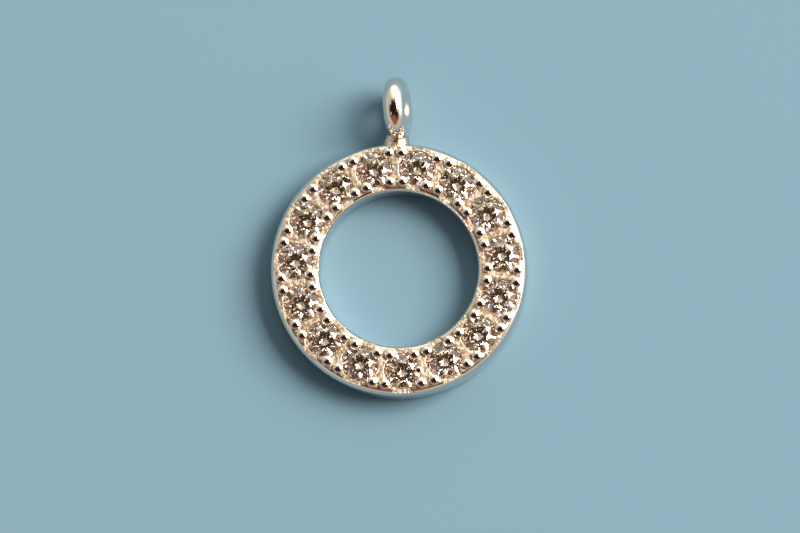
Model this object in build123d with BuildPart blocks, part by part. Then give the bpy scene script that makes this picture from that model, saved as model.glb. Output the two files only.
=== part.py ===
from build123d import *
from math import asin, atan, cos, pi, radians, sin, sqrt, tan
import os

# Open circle pendant: a cast silver ring set with a single row of round brilliants,
# and a round-wire bail soldered to its rim. It lies on its back, +Z up, with the bail
# towards +Y. The origin is the middle of the ring, at its back face. Millimetres.

# Stones
stone_count = 15
stone_diameter = 2.05
table_share = 0.56  # of the stone's diameter
star_share = 0.52  # of the way from the table's edge to the girdle
lower_girdle_share = 0.78  # of the way from the girdle to the point
crown_angle = 34.5
pavilion_angle = 41.0
girdle_height = 0.05
culet_diameter = 0.22  # the small facet at the point
stone_gap = 0.47  # from one stone to the next
stone_clearance = 0.02  # between a stone and the metal that it sits in

# Ring
ring_height = 1.9  # from the back to the flat webs between the stones
rim_wall = 0.41  # from a stone's edge to the outer wall, and to the hole
outer_shoulder = 0.3  # width of the outer wall's rounded top edge
outer_shoulder_height = 0.47
inner_shoulder = 0.22
inner_shoulder_height = 0.3
back_round = 0.15  # the softened edges of the back
girdle_below_web = 0.15  # from the webs down to the top of the stones' girdles
seat_lift = 0.03  # how far a seat's straight wall stands off the stone's girdle
bright_cut = 0.05  # the bevel round each seat
rib_width = 0.5  # the flat stripe along the middle of each web
rib_slope = 0.1  # width of the bright slopes on its two sides

# Flat windows, cut in the rim beside each stone
window_depth = 0.07  # below the webs
foot_window_depth = 0.15  # of the one window opposite the bail
outer_window_margin = 0.31  # from a window to the posts on each side of it
inner_window_margin = 0.14
window_flare = 24.0  # degrees that each side turns out, towards the wall

# Posts with beaded tops, four round each web
bead_diameter = 0.62
bead_dome = 0.55  # radius of its domed top
bead_edge = 0.1  # radius of the rounded edge of the dome
bead_stand = 0.28  # a bead's top above the webs
post_root = 0.5  # how deep a post goes into the ring
post_gap = 0.13  # between the two posts of a pair
side_bead_diameter = 0.44  # one more bead, to the right of the stone opposite the bail
side_bead_reach = 0.31  # how far it reaches over the stone

# Bail
bail_diameter = 3.75
wire_diameter = 1.3
bail_hole_diameter = 1.35
bail_stand = 0.15  # from the rim to the wire
bail_offset = 0.24  # how far the bail sits to the right of the ring's middle plane
bail_twist = 10.0  # how far it is turned off that plane
neck_diameter = 1.85  # where the neck starts, inside the rim
neck_height = 0.96  # of its middle there, above the back
neck_root = 0.45  # how deep it goes into the rim
neck_tip_diameter = 1.2  # where it ends, inside the wire
neck_tip_height = 1.4

# Sizes that follow
pitch_angle = 360.0 / stone_count
half_pitch = radians(pitch_angle / 2)
foot_angle = 90 - (stone_count // 2 + 0.5) * pitch_angle
stone_radius = stone_diameter / 2
stone_circle = (stone_diameter + stone_gap) / 2 / sin(half_pitch)
outer_radius = stone_circle + stone_radius + rim_wall
hole_radius = stone_circle - stone_radius - rim_wall
bead_radius = bead_diameter / 2
bead_top = ring_height + bead_stand
window_floor = ring_height - window_depth

girdle_top = ring_height - girdle_below_web
girdle_foot = girdle_top - girdle_height
crown_slope = tan(radians(crown_angle))
pavilion_slope = tan(radians(pavilion_angle))
table_radius = stone_radius * table_share
table_top = girdle_top + (stone_radius - table_radius) * crown_slope

# Each kite of the crown or pavilion lies in one plane, so its side corners take their height
# from the slope at the middle of the kite
kite_lean = cos(pi / 8)
star_tip = table_radius * kite_lean * (1 - star_share) + stone_radius * star_share
star_height = girdle_top + (stone_radius - star_tip * kite_lean) * crown_slope
lower_tip = stone_radius * (1 - lower_girdle_share)
lower_height = girdle_foot - (stone_radius - lower_tip * kite_lean) * pavilion_slope
culet_height = girdle_foot - (stone_radius - culet_diameter / 2 * kite_lean) * pavilion_slope

outer_post_circle = outer_radius - outer_shoulder - bead_radius
inner_post_circle = hole_radius + inner_shoulder + bead_radius
post_offset = post_gap / 2 + bead_radius

wire_radius = wire_diameter / 2
bail_circle = bail_diameter / 2 - wire_radius
bail_centre = Vector(
    bail_offset,
    outer_radius + bail_stand + bail_diameter / 2,
    bail_circle * cos(radians(bail_twist)) + wire_radius,
)
bail_axis = Vector(cos(radians(bail_twist)), 0, sin(radians(bail_twist)))


def ring_of_corners(radius, height, count, turn):
    """Corners evenly spaced round the stone's axis, the first turned by a share of a step."""
    step = 2 * pi / count
    return [
        (radius * cos((i + turn) * step), radius * sin((i + turn) * step), height)
        for i in range(count)
    ]


def brilliant_corners():
    """Every corner of a round brilliant on the ring's axis."""
    return (
        ring_of_corners(table_radius, table_top, 8, 0)
        + ring_of_corners(star_tip, star_height, 8, 0.5)
        + ring_of_corners(stone_radius, girdle_top, 16, 0)
        + ring_of_corners(stone_radius, girdle_foot, 16, 0)
        + ring_of_corners(lower_tip, lower_height, 8, 0.5)
        + ring_of_corners(culet_diameter / 2, culet_height, 8, 0.5)
    )


def window_corners(post_circle, margin, end):
    """Plan of a window from the stone's middle, between the posts beside it, to its end."""
    lean = half_pitch - asin(post_offset / post_circle)
    width = post_circle * sin(lean) - bead_radius - margin
    place = post_circle - stone_circle
    flared = width + abs(end - place) * tan(radians(window_flare))
    return [(0, width), (place, width), (end, flared), (end, -flared), (place, -width), (0, -width)]


def rib_side(radius):
    """Half the distance between the stripes of the two webs beside a stone, at their tops."""
    return radius * tan(half_pitch) - rib_width / 2 / cos(half_pitch)


def trough_corners(inset):
    """Plan of the space between those two stripes, from the inner posts to the outer ones."""
    ends = (inner_post_circle, outer_post_circle)
    near, far = (rib_side(radius) - inset / cos(half_pitch) for radius in ends)
    start, stop = (radius - stone_circle for radius in ends)
    return [(start, near), (stop, far), (stop, -far), (start, -near)]


# One brilliant, on the ring's axis
with BuildPart() as brilliant:
    ConvexPolyhedron(brilliant_corners())

# The space cut for one stone: its seat, drilled just deeper than the stone, the sloped space
# between the ribs of the two webs, and the two windows
seat_radius = stone_radius + seat_lift
seat_floor = culet_height - stone_clearance
seat_tip = girdle_foot - stone_radius * pavilion_slope - stone_clearance / cos(radians(pavilion_angle))
seat_floor_radius = (seat_floor - seat_tip) / pavilion_slope
seat_foot = seat_tip + seat_radius * pavilion_slope
above = bead_top + stone_clearance
outer_end = outer_radius - stone_circle + back_round
inner_end = hole_radius - stone_circle - back_round
with BuildPart() as stone_space:
    with BuildSketch(Plane.XZ):
        with BuildLine():
            Polyline(
                (0, seat_floor),
                (seat_floor_radius, seat_floor),
                (seat_radius, seat_foot),
                (seat_radius, ring_height - bright_cut),
                (seat_radius + bright_cut, ring_height),
                (seat_radius + bright_cut, above),
                (0, above),
                close=True,
            )
        make_face()
    revolve(axis=Axis.Z)
    with BuildSketch(Plane.XY.offset(window_floor)):
        Polygon(*trough_corners(rib_slope), align=None)
    with BuildSketch(Plane.XY.offset(ring_height)):
        Polygon(*trough_corners(0), align=None)
    loft()
    with BuildSketch(Plane.XY.offset(window_floor)):
        Polygon(*window_corners(outer_post_circle, outer_window_margin, outer_end), align=None)
        Polygon(*window_corners(inner_post_circle, inner_window_margin, inner_end), align=None)
    extrude(amount=above - window_floor)

# The deeper window opposite the bail
with BuildPart() as foot_window:
    with BuildSketch(Plane.XY.offset(ring_height - foot_window_depth)):
        Polygon(*window_corners(outer_post_circle, outer_window_margin, outer_end), align=None)
    extrude(amount=above - ring_height + foot_window_depth)

# The round form that clears every corner of the stone, and notches the beads that hold it
envelope_radius = stone_radius + stone_clearance
envelope_slope = (star_height - girdle_top) / (stone_radius - star_tip)
envelope_lift = stone_clearance * tan(atan(envelope_slope) / 2)
with BuildPart() as envelope:
    with BuildSketch(Plane.XZ):
        with BuildLine():
            Polyline(
                (0, seat_floor),
                (seat_floor_radius, seat_floor),
                (envelope_radius, seat_tip + envelope_radius * pavilion_slope),
                (envelope_radius, girdle_top + envelope_lift),
                (0, girdle_top + envelope_lift + envelope_radius * envelope_slope),
                close=True,
            )
        make_face()
    revolve(axis=Axis.Z)

def post_form(radius):
    """Half the outline of a post with its domed top."""
    side_top = bead_top - bead_dome + sqrt(bead_dome**2 - radius**2)
    with BuildSketch(Plane.XZ) as form:
        with BuildLine():
            Polyline(
                (0, bead_top),
                (0, ring_height - post_root),
                (radius, ring_height - post_root),
                (radius, side_top),
            )
            RadiusArc((radius, side_top), (0, bead_top), -bead_dome)
        make_face()
        fillet(vertices().sort_by(Axis.Y)[-2:].sort_by(Axis.X)[-1], radius=min(bead_edge, radius / 2))
    return form.sketch


# One post with its domed bead, and the smaller one beside the stone opposite the bail
with BuildPart() as post:
    add(post_form(bead_radius))
    revolve(axis=Axis.Z)

with BuildPart() as side_post:
    add(post_form(side_bead_diameter / 2))
    revolve(axis=Axis.Z)

# The setting: ring, posts, neck and bail, cast and soldered into one piece of metal
with BuildPart() as setting:
    with BuildSketch(Plane.XZ):
        with BuildLine():
            Polyline(
                (outer_radius, back_round),
                (outer_radius - back_round, 0),
                (hole_radius + back_round, 0),
                (hole_radius, back_round),
                (hole_radius, ring_height - inner_shoulder_height),
            )
            TangentArc(
                (hole_radius, ring_height - inner_shoulder_height),
                (hole_radius + inner_shoulder, ring_height),
                tangent=(0, 1),
            )
            Line(
                (hole_radius + inner_shoulder, ring_height),
                (outer_radius - outer_shoulder, ring_height),
            )
            Line(
                (outer_radius, back_round),
                (outer_radius, ring_height - outer_shoulder_height),
            )
            TangentArc(
                (outer_radius, ring_height - outer_shoulder_height),
                (outer_radius - outer_shoulder, ring_height),
                tangent=(0, 1),
            )
        make_face()
    revolve(axis=Axis.Z)
    with PolarLocations(stone_circle, stone_count, start_angle=90 - pitch_angle / 2):
        add(stone_space.part, mode=Mode.SUBTRACT)
    with PolarLocations(stone_circle, 1, start_angle=foot_angle):
        add(foot_window.part, mode=Mode.SUBTRACT)
        with Locations((0, stone_radius - side_bead_reach + side_bead_diameter / 2)):
            add(side_post.part)
    with PolarLocations(0, stone_count, start_angle=90):
        with Locations(
            (outer_post_circle, post_offset),
            (outer_post_circle, -post_offset),
            (inner_post_circle, post_offset),
            (inner_post_circle, -post_offset),
        ):
            add(post.part)
    with PolarLocations(stone_circle, stone_count, start_angle=90 - pitch_angle / 2):
        add(envelope.part, mode=Mode.SUBTRACT)
    for across, along, up, width in (
        (0, outer_radius - neck_root, neck_height, neck_diameter),
        (bail_offset, bail_centre.Y - bail_circle, neck_tip_height, neck_tip_diameter),
    ):
        with BuildSketch(Plane((across, along, up), x_dir=(1, 0, 0), z_dir=(0, 1, 0))):
            Circle(width / 2)
    loft()
    with Locations(Plane(bail_centre, z_dir=bail_axis)):
        Torus(bail_circle, wire_radius)
        Cylinder(bail_hole_diameter / 2, bail_diameter, mode=Mode.SUBTRACT)

os.makedirs("parts", exist_ok=True)
setting.part.label = "ring_setting"
export_step(setting.part, "parts/ring_setting.step")

# The stones, numbered clockwise from the bail
for index in range(stone_count):
    turn = -(index + 0.5) * pitch_angle
    with BuildPart() as stone:
        with PolarLocations(stone_circle, 1, start_angle=90 + turn):
            add(brilliant.part)
    stone.part.label = f"stone_{index + 1:02d}"
    export_step(stone.part, f"parts/{stone.part.label}.step")
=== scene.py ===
from math import cos, radians, sin

import bmesh
import bpy
from bpy.props import FloatProperty, FloatVectorProperty, PointerProperty
from bpy.types import Operator, Panel, PropertyGroup
from mathutils import Matrix, Vector


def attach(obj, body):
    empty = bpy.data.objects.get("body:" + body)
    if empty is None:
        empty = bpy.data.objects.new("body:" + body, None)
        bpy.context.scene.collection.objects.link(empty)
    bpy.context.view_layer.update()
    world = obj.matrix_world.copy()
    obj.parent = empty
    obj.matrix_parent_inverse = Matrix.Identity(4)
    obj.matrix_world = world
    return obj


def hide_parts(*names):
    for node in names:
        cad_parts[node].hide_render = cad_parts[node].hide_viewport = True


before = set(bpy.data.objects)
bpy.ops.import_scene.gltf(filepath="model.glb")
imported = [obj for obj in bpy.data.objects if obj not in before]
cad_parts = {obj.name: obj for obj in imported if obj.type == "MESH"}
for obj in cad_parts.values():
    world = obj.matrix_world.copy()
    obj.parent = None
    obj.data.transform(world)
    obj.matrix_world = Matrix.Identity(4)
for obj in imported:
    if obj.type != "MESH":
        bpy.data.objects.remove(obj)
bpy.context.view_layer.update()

bl_info = {
    "name": "Open Circle Pendant",
    "version": (1, 0, 0),
    "blender": (4, 5, 0),
    "location": "3D View > Sidebar > Pendant",
    "description": "Finishes of a silver ring pendant set with round brilliants, and its stage",
    "category": "Object",
}

MM = 0.001
STONES = sorted(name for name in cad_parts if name.startswith("stone_"))

# Where each finish of the setting begins and ends: distances from the ring's middle, and
# heights above its back
HOLE_RADIUS = 4.625 * MM
RING_RADIUS = 7.495 * MM
WEB_LEVEL = 1.9 * MM
GRAVED_TOP = WEB_LEVEL + 0.02 * MM  # just over the webs, so that their own face counts
GRAVED_FOOT = WEB_LEVEL - 0.25 * MM  # under the floors of the windows in the rim
FLAT = 0.985  # of 1 for straight up: webs and windows face up more than this, rounds less
SEATS_FROM = 4.95 * MM
SEATS_TO = 7.15 * MM
SEATS_FOOT = 0.3 * MM
SEATS_TOP = WEB_LEVEL - 0.18 * MM  # just under the stones' girdles
SOLDER_AT = (0.12 * MM, 7.5 * MM, 1.0 * MM)  # middle of the joint between bail and rim
SOLDER_REACH = 1.3 * MM

MARK_DEPTH = 0.04 * MM
MARK_STRENGTH = 0.8
PAINTED_SHADE_BELOW, PAINTED_HIGHLIGHT_ABOVE = 0.38, 0.62  # grain under the first gets the full painted shade of the hollows, and over the second the full painted highlight of the ridges
EDGE_SAMPLES = 4
SAME_CORNER = 0.0005 * MM  # corners of the loose triangles that are nearer than this are one
CREASE = radians(30)  # faces that meet at more than this keep their edge sharp

PHOTO_WIDTH = 800
PHOTO_HEIGHT = 533
RING_IN_PHOTO = (398.9, 268.1)  # pixels from the left and from the top to the ring's middle
SENSOR = 36.0  # width in millimetres, as the lens is

# The stage, in metres
NEAREST, FURTHEST = 0.01, 10.0  # what the camera sees
PAPER_REACH = 0.6  # from the ring's middle to each side
LIGHT_DISTANCE = 2.0

BOUNCES = 16  # light crosses a stone's facets many times before it comes out
MIRROR_BOUNCES = 12

# What the polished metal and the stones see around them: a direction, how many degrees from it
# the patch is whole and past how many it is gone, its colour and its brightness
ROOM = (
    ((0.25, 1, 0.6), 20, 46, "FFF6EA", 1.5),  # white wall behind the bail
    ((0, 0, -1), 88, 104, "A4C4D0", 0.75),  # far paper, to just over the horizon
    ((1, 0.25, 0.5), 20, 42, "FFF8F0", 1.4),  # white wall to the right
    ((0.18, -0.34, 1), 26, 50, "2E2218", 0.85),  # dark camera and ceiling, right half
    ((-0.18, -0.34, 1), 26, 50, "2E2218", 0.85),  # and left half
    ((-0.05, -1, 0.75), 12, 28, "A86450", 0.9),  # brown wood beyond the foot
    ((0.7, -0.3, 1), 2, 6, "FFB478", 2.0),  # four small lamps, which colour the stones' flashes
    ((-0.6, 0.2, 1), 2, 6, "A8C2FF", 2.0),
    ((-0.7, -0.55, 1), 2, 6, "C4B8FF", 1.6),
    ((0.75, 0.5, 1), 2, 6, "FFCB80", 2.0),
)


def linear(code):
    """Turns an sRGB colour such as "8FB3C1" into linear red, green and blue, by the sRGB curve:
    a straight line for the darkest shares, and a power of 2.4 for the rest."""
    shares = [int(code[i:i + 2], 16) / 255 for i in (0, 2, 4)]
    return tuple(v / 12.92 if v <= 0.04045 else ((v + 0.055) / 1.055) ** 2.4 for v in shares)


def colour(name, description, code):
    """A colour property whose default is an sRGB hex value."""
    return FloatVectorProperty(
        name=name, description=description, subtype="COLOR", size=3,
        min=0.0, max=1.0, default=linear(code))


def add_node(tree, kind, inputs=None, **settings):
    """Adds a node. An input is a value, or the output socket that feeds it."""
    made = tree.nodes.new(kind)
    for name, value in settings.items():
        setattr(made, name, value)
    for key, value in (inputs or {}).items():
        if isinstance(value, bpy.types.NodeSocket):
            tree.links.new(value, made.inputs[key])
        else:
            made.inputs[key].default_value = value
    return made


def new_material(name):
    """An empty material and its node tree."""
    material = bpy.data.materials.new(name)
    material.use_nodes = True
    material.node_tree.nodes.clear()
    return material, material.node_tree


class SilverLook(PropertyGroup):
    """Finish of the cast and soldered silver."""

    tone: colour("Silver", "Colour of the rhodium-plated silver", "DEDAD4")
    # The two web colours are painted light: the hollows' colour is painted shade and the ridges'
    # colour a painted highlight, mixed by the grain on the webs, the windows and the solder
    web_hollow_painted_shade: colour("Web hollows", "Colour of the graver's marks on the webs", "A39680")
    web_ridge_painted_highlight: colour(
        "Web ridges", "Colour of the ridges between the graver's marks", "E4DACA")
    softness: FloatProperty(
        name="Softness", description="Radius of the polished edges",
        default=0.03 * MM, unit="LENGTH", precision=6)
    polish: FloatProperty(
        name="Polish", description="Roughness of walls, beads and bail",
        default=0.09, min=0, max=1)
    satin: FloatProperty(
        name="Satin", description="Roughness of the webs between the stones",
        default=0.38, min=0, max=1)
    seat: FloatProperty(
        name="Seats", description="Roughness of the drilled seats under the stones",
        default=0.6, min=0, max=1)
    solder: FloatProperty(
        name="Solder", description="Roughness of the solder joint under the bail",
        default=0.3, min=0, max=1)
    # The real marks are about 0.03 mm wide, half a pixel of the render, so they are drawn three
    # times as wide, where they just show
    grain: FloatProperty(
        name="Grain", description="Width of the graver's marks on the webs",
        default=0.09 * MM, unit="LENGTH", precision=6)


class StoneLook(PropertyGroup):
    """Finish of the round brilliants."""

    tone: colour("Stone", "Body colour of the clear stones", "FCF3E4")
    index: FloatProperty(
        name="Refractive index", description="Cubic zirconia is about 2.17",
        default=2.17, min=1, max=3)
    wear: FloatProperty(
        name="Wear", description="Roughness of the polished facets",
        default=0.01, min=0, max=1)


class StageLook(PropertyGroup):
    """Paper, light and camera."""

    paper: colour("Paper", "Colour of the plain blue-grey paper", "54768A")
    room: colour("Room", "Colour of the walls that the metal reflects", "DCC8AC")
    room_power: FloatProperty(
        name="Room light", description="Brightness of the surroundings", default=1.1, min=0)
    key_power: FloatProperty(
        name="Key", description="Power of the warm key light in watts", default=131.0, min=0)
    key_size: FloatProperty(
        name="Key size", description="Width of the key light", default=1.3, unit="LENGTH")
    key_height: FloatProperty(
        name="Key height", description="How far the key light stands above the horizon",
        default=radians(43), subtype="ANGLE")
    key_turn: FloatProperty(
        name="Key turn", description="From the pendant's right towards its bail",
        default=radians(19), subtype="ANGLE")
    key_tone: colour("Key colour", "Colour of the warm key light", "FFE9D8")
    fill_power: FloatProperty(
        name="Fill", description="Power of the cool fill light in watts", default=8.0, min=0)
    fill_size: FloatProperty(
        name="Fill size", description="Width of the fill light", default=3.0, unit="LENGTH")
    fill_tone: colour("Fill colour", "Colour of the cool fill light", "ABE9FF")
    tilt: FloatProperty(
        name="Tilt", description="Camera's lean from straight above, towards the foot of the ring",
        default=radians(10.66), subtype="ANGLE")
    turn: FloatProperty(
        name="Turn", description="How far the pendant is turned in the picture",
        default=radians(2.02), subtype="ANGLE")
    distance: FloatProperty(
        name="Distance", description="From the camera to the ring", default=0.28, unit="LENGTH")
    scale: FloatProperty(
        name="Scale", description="Pixels of the 800 pixel wide picture to a millimetre",
        default=17.15, min=1)


def band(tree, value, low, high):
    """Where a finish lies: 1 where a value is between two limits, and 0 outside them."""
    over = add_node(tree, "ShaderNodeMath", {0: value, 1: low}, operation="GREATER_THAN")
    under = add_node(tree, "ShaderNodeMath", {0: value, 1: high}, operation="LESS_THAN")
    both = add_node(
        tree, "ShaderNodeMath", {0: over.outputs[0], 1: under.outputs[0]}, operation="MULTIPLY")
    return both.outputs[0]


def silver_material(look):
    """Rhodium-plated sterling silver, cast, soldered and then mirror polished. Its walls, beads
    and bail reflect the room and the paper. The graver leaves the webs and the windows satin and
    mottled with painted shade in the marks' hollows and painted highlights on their ridges; the
    solder under the bail stays a little rough and gets the same painted mottle, and the drilled
    seats are matt."""
    material, tree = new_material("rhodium_plated_silver")
    place = add_node(tree, "ShaderNodeTexCoord").outputs["Object"]
    height = add_node(tree, "ShaderNodeSeparateXYZ", {"Vector": place}).outputs["Z"]
    normal = add_node(tree, "ShaderNodeNewGeometry").outputs["True Normal"]
    upward = add_node(tree, "ShaderNodeSeparateXYZ", {"Vector": normal}).outputs["Z"]
    spread = add_node(tree, "ShaderNodeVectorMath", {0: place, 1: (1, 1, 0)}, operation="MULTIPLY")
    radius = add_node(
        tree, "ShaderNodeVectorMath", {0: spread.outputs[0]}, operation="LENGTH").outputs["Value"]

    # Where each finish lies
    flat = add_node(tree, "ShaderNodeMath", {0: upward, 1: FLAT}, operation="GREATER_THAN")
    level = add_node(tree, "ShaderNodeMath", {
        0: flat.outputs[0], 1: band(tree, height, GRAVED_FOOT, GRAVED_TOP)},
        operation="MULTIPLY")
    graved = add_node(tree, "ShaderNodeMath", {
        0: level.outputs[0], 1: band(tree, radius, HOLE_RADIUS, RING_RADIUS)},
        operation="MULTIPLY").outputs[0]
    apart = add_node(tree, "ShaderNodeVectorMath", {0: place, 1: SOLDER_AT}, operation="DISTANCE")
    soldered = add_node(tree, "ShaderNodeMapRange", {
        "Value": apart.outputs["Value"], "From Min": SOLDER_REACH, "From Max": SOLDER_REACH / 2},
        interpolation_type="SMOOTHSTEP").outputs[0]
    drilled = add_node(tree, "ShaderNodeMath", {
        0: band(tree, radius, SEATS_FROM, SEATS_TO), 1: band(tree, height, SEATS_FOOT, SEATS_TOP)},
        operation="MULTIPLY").outputs[0]

    # How rough each is: polished, then satin, soldered and drilled laid over it in turn
    satin = add_node(tree, "ShaderNodeMapRange", {
        "Value": graved, "To Min": look.polish, "To Max": look.satin})
    joint = add_node(tree, "ShaderNodeMapRange", {
        "Value": soldered, "To Min": satin.outputs[0], "To Max": look.solder})
    rough = add_node(tree, "ShaderNodeMapRange", {
        "Value": drilled, "To Min": joint.outputs[0], "To Max": look.seat})

    # Relief of the graver's marks and the solder. A cell of the noise is one hollow and one ridge
    grain = add_node(tree, "ShaderNodeTexNoise", {
        "Vector": place, "Scale": 1 / (2 * look.grain), "Detail": 3.0}).outputs["Fac"]
    uneven = add_node(
        tree, "ShaderNodeMath", {0: graved, 1: soldered}, operation="MAXIMUM").outputs[0]
    marks = add_node(tree, "ShaderNodeMath", {0: grain, 1: uneven}, operation="MULTIPLY")
    edges = add_node(tree, "ShaderNodeBevel", {"Radius": look.softness}, samples=EDGE_SAMPLES)
    surface = add_node(tree, "ShaderNodeBump", {
        "Height": marks.outputs[0], "Distance": MARK_DEPTH, "Strength": MARK_STRENGTH,
        "Normal": edges.outputs[0]})

    # Colour: painted shade darkens the marks' hollows and a painted highlight lightens their
    # ridges, on the webs, the windows and the solder
    ridges = add_node(tree, "ShaderNodeMapRange", {
        "Value": grain, "From Min": PAINTED_SHADE_BELOW, "From Max": PAINTED_HIGHLIGHT_ABOVE}, interpolation_type="SMOOTHSTEP")
    web = add_node(tree, "ShaderNodeMix", {
        0: ridges.outputs[0], 6: (*look.web_hollow_painted_shade, 1), 7: (*look.web_ridge_painted_highlight, 1)}, data_type="RGBA")
    tone = add_node(tree, "ShaderNodeMix", {
        0: uneven, 6: (*look.tone, 1), 7: web.outputs[2]}, data_type="RGBA")
    shader = add_node(tree, "ShaderNodeBsdfPrincipled", {
        "Base Color": tone.outputs[2], "Metallic": 1.0, "Roughness": rough.outputs[0],
        "Normal": surface.outputs[0]})
    add_node(tree, "ShaderNodeOutputMaterial", {"Surface": shader.outputs[0]})
    return material


def stone_material(look):
    """Cubic zirconia, cut and polished: clear, with flat mirror-like facets and a strong bend of
    the light, which gives dark and bright facets side by side and bright flashes."""
    material, tree = new_material("polished_cubic_zirconia")
    shader = add_node(tree, "ShaderNodeBsdfPrincipled", {
        "Base Color": (*look.tone, 1), "Metallic": 0.0, "Roughness": look.wear,
        "IOR": look.index, "Transmission Weight": 1.0})
    add_node(tree, "ShaderNodeOutputMaterial", {"Surface": shader.outputs[0]})
    return material


def paper_material(look):
    """Matt card, pressed smooth: one even colour with no sheen."""
    material, tree = new_material("matt_paper")
    shader = add_node(tree, "ShaderNodeBsdfPrincipled", {
        "Base Color": (*look.paper, 1), "Roughness": 0.9})
    add_node(tree, "ShaderNodeOutputMaterial", {"Surface": shader.outputs[0]})
    return material


def surroundings(look):
    """The plain warm room, with each patch of ROOM laid over it in turn."""
    world = bpy.data.worlds.new("studio")
    world.use_nodes = True
    tree = world.node_tree
    tree.nodes.clear()
    ray = add_node(tree, "ShaderNodeTexCoord").outputs["Generated"]
    tone = (*look.room, 1)
    for direction, whole, gone, code, brightness in ROOM:
        along = add_node(tree, "ShaderNodeVectorMath", {
            0: ray, 1: Vector(direction).normalized()}, operation="DOT_PRODUCT")
        patch = add_node(tree, "ShaderNodeMapRange", {
            "Value": along.outputs["Value"],
            "From Min": cos(radians(gone)), "From Max": cos(radians(whole))},
            interpolation_type="SMOOTHSTEP")
        light = (*(v * brightness for v in linear(code)), 1)
        tone = add_node(tree, "ShaderNodeMix", {
            0: patch.outputs[0], 6: tone, 7: light}, data_type="RGBA").outputs[2]
    back = add_node(tree, "ShaderNodeBackground", {"Color": tone, "Strength": look.room_power})
    add_node(tree, "ShaderNodeOutputWorld", {"Surface": back.outputs[0]})
    bpy.context.scene.world = world


def soft_box(name, place, size, power, tone):
    """A soft square light that points at the middle of the ring."""
    lamp = bpy.data.lights.new(name, "AREA")
    lamp.size = size
    lamp.energy = power
    lamp.color = tone
    box = bpy.data.objects.new(name, lamp)
    box.location = place
    box.rotation_euler = (-Vector(place)).to_track_quat("-Z", "Y").to_euler()
    bpy.context.scene.collection.objects.link(box)
    return box


def place_camera(look):
    """The photograph's view: leaning towards the ring's foot, and turned about its own axis."""
    camera = bpy.data.cameras.new("camera")
    camera.sensor_width = SENSOR
    # The lens that gives this many pixels to a millimetre at the ring
    camera.lens = look.scale / MM * look.distance / PHOTO_WIDTH * SENSOR
    camera.clip_start, camera.clip_end = NEAREST, FURTHEST
    back = Vector((0, -sin(look.tilt), cos(look.tilt)))
    level_up = Vector((0, cos(look.tilt), sin(look.tilt)))
    level_right = level_up.cross(back)
    up = level_up * cos(look.turn) + level_right * sin(look.turn)
    right = level_right * cos(look.turn) - level_up * sin(look.turn)
    across = PHOTO_WIDTH / 2 - RING_IN_PHOTO[0]
    above = RING_IN_PHOTO[1] - PHOTO_HEIGHT / 2
    aim = Vector((0, 0, WEB_LEVEL)) + (right * across + up * above) * (MM / look.scale)
    holder = bpy.data.objects.new("camera", camera)
    turned = Matrix((right, up, back)).transposed().to_4x4()
    holder.matrix_world = Matrix.Translation(aim + back * look.distance) @ turned
    bpy.context.scene.collection.objects.link(holder)
    bpy.context.scene.camera = holder


class PENDANT_OT_silver(Operator):
    """Give the setting and its bail their silver finish"""

    bl_idname = "pendant.silver"
    bl_label = "Silver Setting"

    def execute(self, context):
        """Merges a copy of the cast setting, so that its rounds shade smoothly."""
        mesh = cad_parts["ring_setting"].data.copy()
        mesh.name = "polished_setting"
        merged = bmesh.new()
        merged.from_mesh(mesh)
        bmesh.ops.remove_doubles(merged, verts=merged.verts, dist=SAME_CORNER)
        merged.to_mesh(mesh)
        merged.free()
        # The loose triangles' own normals are flat, and would undo the smooth shading
        mesh.attributes.remove(mesh.attributes["custom_normal"])
        mesh.shade_smooth()
        mesh.set_sharp_from_angle(angle=CREASE)
        mesh.materials.clear()
        mesh.materials.append(silver_material(context.scene.pendant_silver))
        setting = bpy.data.objects.new("polished_setting", mesh)
        context.scene.collection.objects.link(setting)
        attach(setting, "root")
        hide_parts("ring_setting")
        return {"FINISHED"}


class PENDANT_OT_stones(Operator):
    """Give the round brilliants their clear, polished finish"""

    bl_idname = "pendant.stones"
    bl_label = "Round Brilliants"

    def execute(self, context):
        """Puts the zirconia on each stone. Their cut facets are the solids' own."""
        material = stone_material(context.scene.pendant_stones)
        for name in STONES:
            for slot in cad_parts[name].material_slots:
                slot.material = material
        return {"FINISHED"}


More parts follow.
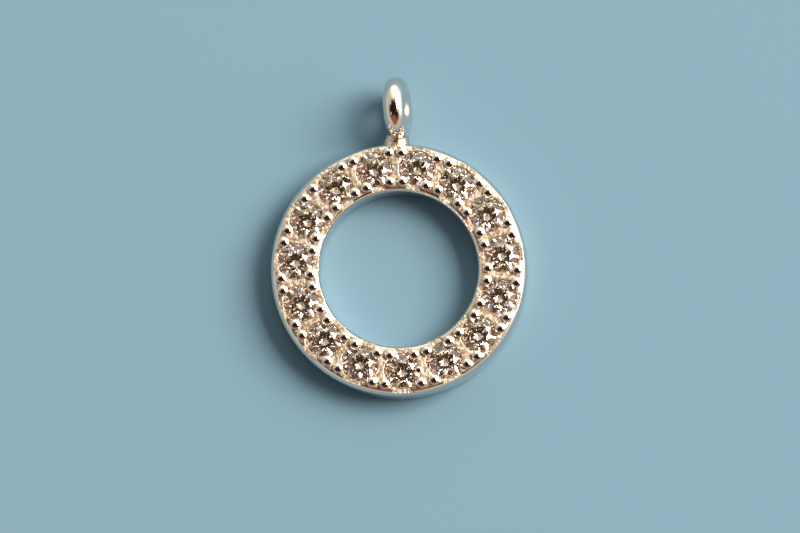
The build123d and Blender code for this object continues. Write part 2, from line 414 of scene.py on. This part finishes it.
class PENDANT_OT_stage(Operator):
    """Lay the paper, set the lights and place the camera"""

    bl_idname = "pendant.stage"
    bl_label = "Stage"

    def execute(self, context):
        """Makes the paper, the room, a warm key light, a cool fill from above and the camera."""
        look = context.scene.pendant_stage
        sheet = bpy.data.meshes.new("paper")
        corners = [(x * PAPER_REACH, y * PAPER_REACH, 0)
                   for x, y in ((-1, -1), (1, -1), (1, 1), (-1, 1))]
        sheet.from_pydata(corners, [], [(0, 1, 2, 3)])
        sheet.materials.append(paper_material(look))
        paper = bpy.data.objects.new("paper", sheet)
        context.scene.collection.objects.link(paper)
        surroundings(look)
        out = LIGHT_DISTANCE * cos(look.key_height)
        place = (out * cos(look.key_turn), out * sin(look.key_turn),
                 LIGHT_DISTANCE * sin(look.key_height))
        soft_box("key", place, look.key_size, look.key_power, look.key_tone)
        fill = soft_box(
            "fill", (0, 0, LIGHT_DISTANCE), look.fill_size, look.fill_power, look.fill_tone)
        # The fill only softens the shadows, and shows neither in the metal nor in the stones
        fill.visible_glossy = False
        fill.visible_transmission = False
        context.scene.view_settings.view_transform = "Standard"
        context.scene.cycles.max_bounces = BOUNCES
        context.scene.cycles.glossy_bounces = MIRROR_BOUNCES
        place_camera(look)
        return {"FINISHED"}


# Each group of sizes and colours, and the button that makes what it describes
GROUPS = (
    ("pendant_silver", SilverLook, "pendant.silver"),
    ("pendant_stones", StoneLook, "pendant.stones"),
    ("pendant_stage", StageLook, "pendant.stage"),
)


class PENDANT_PT_panel(Panel):
    """Pieces and stage of the pendant"""

    bl_idname = "PENDANT_PT_panel"
    bl_label = "Pendant"
    bl_space_type = "VIEW_3D"
    bl_region_type = "UI"
    bl_category = "Pendant"

    def draw(self, context):
        """Lists each group's values in a box, with its button under them."""
        for group, look, operator in GROUPS:
            box = self.layout.box()
            for name in look.__annotations__:
                box.prop(getattr(context.scene, group), name)
            box.operator(operator)


CLASSES = (
    SilverLook, StoneLook, StageLook,
    PENDANT_OT_silver, PENDANT_OT_stones, PENDANT_OT_stage, PENDANT_PT_panel,
)


def register():
    """Adds the classes, and each group's values to the scene."""
    for made in CLASSES:
        bpy.utils.register_class(made)
    for group, look, _ in GROUPS:
        setattr(bpy.types.Scene, group, PointerProperty(type=look))


def unregister():
    """Takes away what register added."""
    for group, _, _ in GROUPS:
        delattr(bpy.types.Scene, group)
    for made in reversed(CLASSES):
        bpy.utils.unregister_class(made)


def main():
    """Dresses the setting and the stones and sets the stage."""
    register()
    bpy.ops.pendant.silver()
    bpy.ops.pendant.stones()
    bpy.ops.pendant.stage()


if __name__ == "__main__":
    main()
